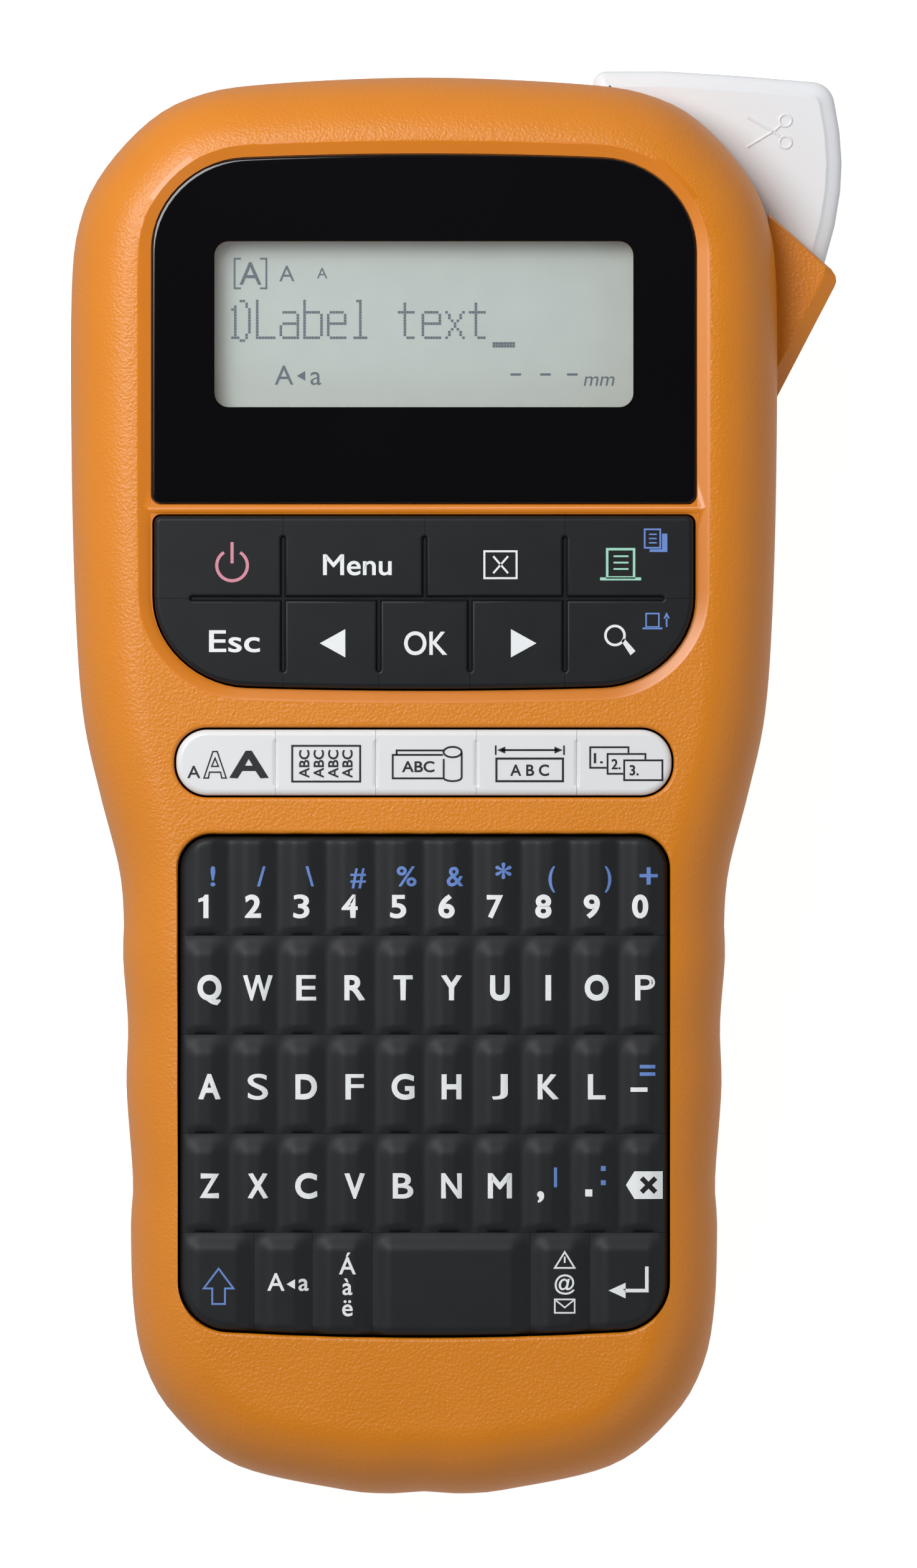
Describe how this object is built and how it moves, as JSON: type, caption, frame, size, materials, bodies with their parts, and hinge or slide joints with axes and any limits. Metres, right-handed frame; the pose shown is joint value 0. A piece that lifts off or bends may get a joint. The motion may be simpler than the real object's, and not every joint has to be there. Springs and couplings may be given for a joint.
{
  "type": "handheld label maker",
  "caption": "Handheld label printer with LCD window, rubber keypad, swing-down tape cutter lever, lift-off back cover, tape cassette and battery bay.",
  "frame": {"origin": "centre of the flat back on the body's centre line", "axes": "+Z out of the keyboard face, +Y towards the display end, +X to the right seen from the keyboard side"},
  "size_m": [0.1095, 0.2021, 0.055],
  "materials": {
    "orange_casing": "fine moulded texture, satin",
    "white_plastic": "smooth, lightly polished",
    "function_rubber": "matte charcoal with printed legends",
    "keypad_rubber": "matte black silicone rubber",
    "window": "polished acrylic, printed black behind",
    "lcd": "grey-green liquid crystal panel",
    "circuit_board": "green solder mask",
    "inner_plastic": "black moulded plastic",
    "cassette_plastic": "dark grey moulded plastic",
    "tape": "white laminated tape, wound",
    "battery_jacket": "printed film over steel",
    "spring_steel": "plated spring steel",
    "gear_plastic": "natural acetal",
    "brass": "turned",
    "steel": "ground and plated",
    "aluminium": "plain sheet",
    "inlet_plastic": "black moulded plastic"
  },
  "bodies": {
    "casing": {"front_shell": "orange_casing", "rear_shell": "orange_casing", "lever_guard": "orange_casing", "display_window": "window", "lcd_panel": "lcd", "keypad_mat": "keypad_rubber", "main_board": "circuit_board", "bay_frame": "inner_plastic", "drive_motor": "steel", "print_head": "aluminium", "cutter_lever_pin": "steel", "cutter_return_spring": "spring_steel", "battery_contacts_low": "spring_steel", "battery_contacts_top": "spring_steel", "power_inlet": "inlet_plastic", "case_screw_1": "steel", "case_screw_2": "steel", "case_screw_3": "steel", "case_screw_4": "steel"},
    "back_cover": {"back_cover": "orange_casing"},
    "tape_cassette": {"cassette_case": "cassette_plastic", "cassette_lid": "cassette_plastic", "tape_roll": "tape"},
    "battery_set": {"battery_1": "battery_jacket", "battery_2": "battery_jacket", "battery_3": "battery_jacket", "battery_4": "battery_jacket", "battery_5": "battery_jacket", "battery_6": "battery_jacket"},
    "cutter_lever": {"cutter_lever": "white_plastic"},
    "cutter_blade": {"cutter_blade": "steel"},
    "platen": {"platen_roller": "keypad_rubber", "platen_gear": "gear_plastic"},
    "idler_gear": {"idler_gear": "gear_plastic"},
    "motor_pinion": {"motor_pinion": "brass"},
    "ribbon_spindle": {"ribbon_spindle": "gear_plastic"},
    "power_key": {"power_key": "function_rubber"},
    "menu_key": {"menu_key": "function_rubber"},
    "clear_key": {"clear_key": "function_rubber"},
    "print_key": {"print_key": "function_rubber"},
    "escape_key": {"escape_key": "function_rubber"},
    "left_key": {"left_key": "function_rubber"},
    "ok_key": {"ok_key": "function_rubber"},
    "right_key": {"right_key": "function_rubber"},
    "preview_key": {"preview_key": "function_rubber"},
    "text_key": {"text_key": "white_plastic"},
    "frame_key": {"frame_key": "white_plastic"},
    "cable_key": {"cable_key": "white_plastic"},
    "length_key": {"length_key": "white_plastic"},
    "number_key": {"number_key": "white_plastic"},
    "digit_keys": {"digit_keys": "keypad_rubber"},
    "upper_letter_keys": {"upper_letter_keys": "keypad_rubber"},
    "middle_letter_keys": {"middle_letter_keys": "keypad_rubber"},
    "lower_letter_keys": {"lower_letter_keys": "keypad_rubber"},
    "shift_key": {"shift_key": "keypad_rubber"},
    "caps_key": {"caps_key": "keypad_rubber"},
    "accent_key": {"accent_key": "keypad_rubber"},
    "space_key": {"space_key": "keypad_rubber"},
    "symbol_key": {"symbol_key": "keypad_rubber"},
    "enter_key": {"enter_key": "keypad_rubber"}
  },
  "joints": [
    {"name": "power_press", "type": "slide", "parent": "casing", "child": "power_key", "axis": [0, 0, -1], "range_m": [0, 0.0005], "stiffness_N_per_m": 900},
    {"name": "menu_press", "type": "slide", "parent": "casing", "child": "menu_key", "axis": [0, 0, -1], "range_m": [0, 0.0005], "stiffness_N_per_m": 900},
    {"name": "clear_press", "type": "slide", "parent": "casing", "child": "clear_key", "axis": [0, 0, -1], "range_m": [0, 0.0005], "stiffness_N_per_m": 900},
    {"name": "print_press", "type": "slide", "parent": "casing", "child": "print_key", "axis": [0, 0, -1], "range_m": [0, 0.0005], "stiffness_N_per_m": 900},
    {"name": "escape_press", "type": "slide", "parent": "casing", "child": "escape_key", "axis": [0, 0, -1], "range_m": [0, 0.0005], "stiffness_N_per_m": 900},
    {"name": "left_press", "type": "slide", "parent": "casing", "child": "left_key", "axis": [0, 0, -1], "range_m": [0, 0.0005], "stiffness_N_per_m": 900},
    {"name": "ok_press", "type": "slide", "parent": "casing", "child": "ok_key", "axis": [0, 0, -1], "range_m": [0, 0.0005], "stiffness_N_per_m": 900},
    {"name": "right_press", "type": "slide", "parent": "casing", "child": "right_key", "axis": [0, 0, -1], "range_m": [0, 0.0005], "stiffness_N_per_m": 900},
    {"name": "preview_press", "type": "slide", "parent": "casing", "child": "preview_key", "axis": [0, 0, -1], "range_m": [0, 0.0005], "stiffness_N_per_m": 900},
    {"name": "text_press", "type": "slide", "parent": "casing", "child": "text_key", "axis": [0, 0, -1], "range_m": [0, 0.0005], "stiffness_N_per_m": 900},
    {"name": "frame_press", "type": "slide", "parent": "casing", "child": "frame_key", "axis": [0, 0, -1], "range_m": [0, 0.0005], "stiffness_N_per_m": 900},
    {"name": "cable_press", "type": "slide", "parent": "casing", "child": "cable_key", "axis": [0, 0, -1], "range_m": [0, 0.0005], "stiffness_N_per_m": 900},
    {"name": "length_press", "type": "slide", "parent": "casing", "child": "length_key", "axis": [0, 0, -1], "range_m": [0, 0.0005], "stiffness_N_per_m": 900},
    {"name": "number_press", "type": "slide", "parent": "casing", "child": "number_key", "axis": [0, 0, -1], "range_m": [0, 0.0005], "stiffness_N_per_m": 900},
    {"name": "digit_row_press", "type": "slide", "parent": "casing", "child": "digit_keys", "axis": [0, 0, -1], "range_m": [0, 0.0008], "stiffness_N_per_m": 1800},
    {"name": "upper_letter_row_press", "type": "slide", "parent": "casing", "child": "upper_letter_keys", "axis": [0, 0, -1], "range_m": [0, 0.0008], "stiffness_N_per_m": 1800},
    {"name": "middle_letter_row_press", "type": "slide", "parent": "casing", "child": "middle_letter_keys", "axis": [0, 0, -1], "range_m": [0, 0.0008], "stiffness_N_per_m": 1800},
    {"name": "lower_letter_row_press", "type": "slide", "parent": "casing", "child": "lower_letter_keys", "axis": [0, 0, -1], "range_m": [0, 0.0008], "stiffness_N_per_m": 1800},
    {"name": "shift_press", "type": "slide", "parent": "casing", "child": "shift_key", "axis": [0, 0, -1], "range_m": [0, 0.0008], "stiffness_N_per_m": 900},
    {"name": "caps_press", "type": "slide", "parent": "casing", "child": "caps_key", "axis": [0, 0, -1], "range_m": [0, 0.0008], "stiffness_N_per_m": 900},
    {"name": "accent_press", "type": "slide", "parent": "casing", "child": "accent_key", "axis": [0, 0, -1], "range_m": [0, 0.0008], "stiffness_N_per_m": 900},
    {"name": "space_press", "type": "slide", "parent": "casing", "child": "space_key", "axis": [0, 0, -1], "range_m": [0, 0.0008], "stiffness_N_per_m": 900},
    {"name": "symbol_press", "type": "slide", "parent": "casing", "child": "symbol_key", "axis": [0, 0, -1], "range_m": [0, 0.0008], "stiffness_N_per_m": 900},
    {"name": "enter_press", "type": "slide", "parent": "casing", "child": "enter_key", "axis": [0, 0, -1], "range_m": [0, 0.0008], "stiffness_N_per_m": 900},
    {"name": "cutter_press", "type": "hinge", "parent": "casing", "child": "cutter_lever", "pos_m": [0.026, 0.084, 0.0305], "axis": [0, 0, -1], "range_deg": [0, 15], "stiffness_Nm_per_rad": 0.6},
    {"name": "blade_slide", "type": "slide", "parent": "casing", "child": "cutter_blade", "axis": [-1, 0, 0], "range_m": [0, 0.0046]},
    {"name": "cover_lift", "type": "slide", "parent": "casing", "child": "back_cover", "axis": [0, 0, -1], "range_m": [0, 0.08]},
    {"name": "cassette_lift", "type": "slide", "parent": "casing", "child": "tape_cassette", "axis": [0, 0, -1], "range_m": [0, 0.04]},
    {"name": "battery_lift", "type": "slide", "parent": "casing", "child": "battery_set", "axis": [0, 0, -1], "range_m": [0, 0.024]},
    {"name": "platen_spin", "type": "hinge", "parent": "casing", "child": "platen", "pos_m": [0.018, 0.066, 0.0115], "axis": [0, 0, 1], "continuous": true},
    {"name": "idler_spin", "type": "hinge", "parent": "casing", "child": "idler_gear", "pos_m": [0.02429, 0.04871, 0.0243], "axis": [0, 0, 1], "continuous": true},
    {"name": "pinion_spin", "type": "hinge", "parent": "casing", "child": "motor_pinion", "pos_m": [0.03229, 0.03485, 0.0243], "axis": [0, 0, 1], "continuous": true},
    {"name": "spindle_spin", "type": "hinge", "parent": "casing", "child": "ribbon_spindle", "pos_m": [0.00269, 0.04871, 0.0243], "axis": [0, 0, 1], "continuous": true}
  ],
  "couplings": [
    {"joint": "blade_slide", "follows": "cutter_press", "m_per_rad": 0.01719},
    {"joint": "cassette_lift", "follows": "cover_lift", "ratio": 0.5},
    {"joint": "battery_lift", "follows": "cover_lift", "ratio": 0.3},
    {"joint": "platen_spin", "follows": "idler_spin", "ratio": -1.875},
    {"joint": "pinion_spin", "follows": "idler_spin", "ratio": -3},
    {"joint": "spindle_spin", "follows": "idler_spin", "ratio": -1.25}
  ]
}
